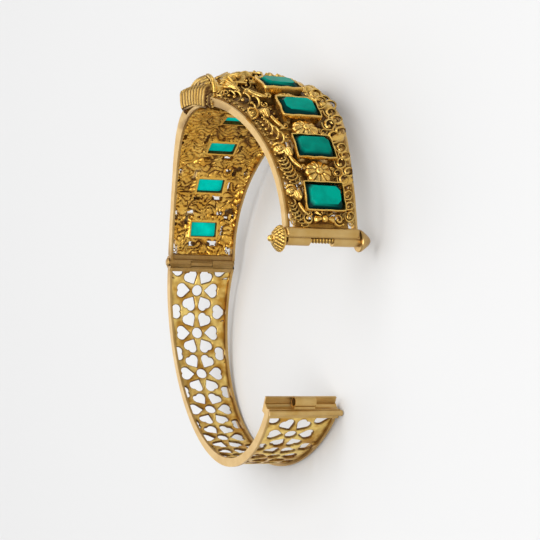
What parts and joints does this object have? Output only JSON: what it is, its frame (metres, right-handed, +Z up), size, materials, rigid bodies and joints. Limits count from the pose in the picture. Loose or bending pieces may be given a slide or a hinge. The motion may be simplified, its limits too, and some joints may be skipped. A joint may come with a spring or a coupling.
{
  "type": "hinged kada bangle",
  "caption": "Hinged openwork bangle: a domed front half with green step-cut stones, a pierced back half and a screw clasp.",
  "frame": {"origin": "centre of the bounding box on the surface that the bangle lies on", "axes": "+Z up from that surface, close to the bangle's width; +Y towards the crown of the front half; +X towards the clasp"},
  "size_m": [0.0664, 0.0784, 0.0269],
  "materials": {
    "gold_polished": "satin gold rails, bars and pierced sheet",
    "gold_antique": "cast gold relief with dark antiqued hollows",
    "green_stone": "polished step-cut green stone with a foiled back"
  },
  "bodies": {
    "front_half": {"front_frame": "gold_polished", "openwork_hinge_side": "gold_antique", "openwork_clasp_side": "gold_antique", "crown_boss": "gold_antique", "hinge_pin": "gold_polished", "stone_1": "green_stone", "stone_2": "green_stone", "stone_3": "green_stone", "stone_4": "green_stone", "stone_5": "green_stone", "stone_6": "green_stone", "stone_7": "green_stone", "stone_8": "green_stone"},
    "back_half": {"back_frame": "gold_polished", "back_lattice": "gold_polished"},
    "clasp_screw": {"clasp_screw": "gold_polished"}
  },
  "joints": [
    {"name": "hinge", "type": "hinge", "parent": "front_half", "child": "back_half", "pos_m": [-0.03074, 0.00309, 0.00896], "axis": [-0.0416, -0.1133, 0.9927], "range_deg": [-26, 29.1]},
    {"name": "screw_slide", "type": "slide", "parent": "front_half", "child": "clasp_screw", "axis": [-0.0416, -0.1133, 0.9927], "range_m": [0, 0.0095]}
  ]
}
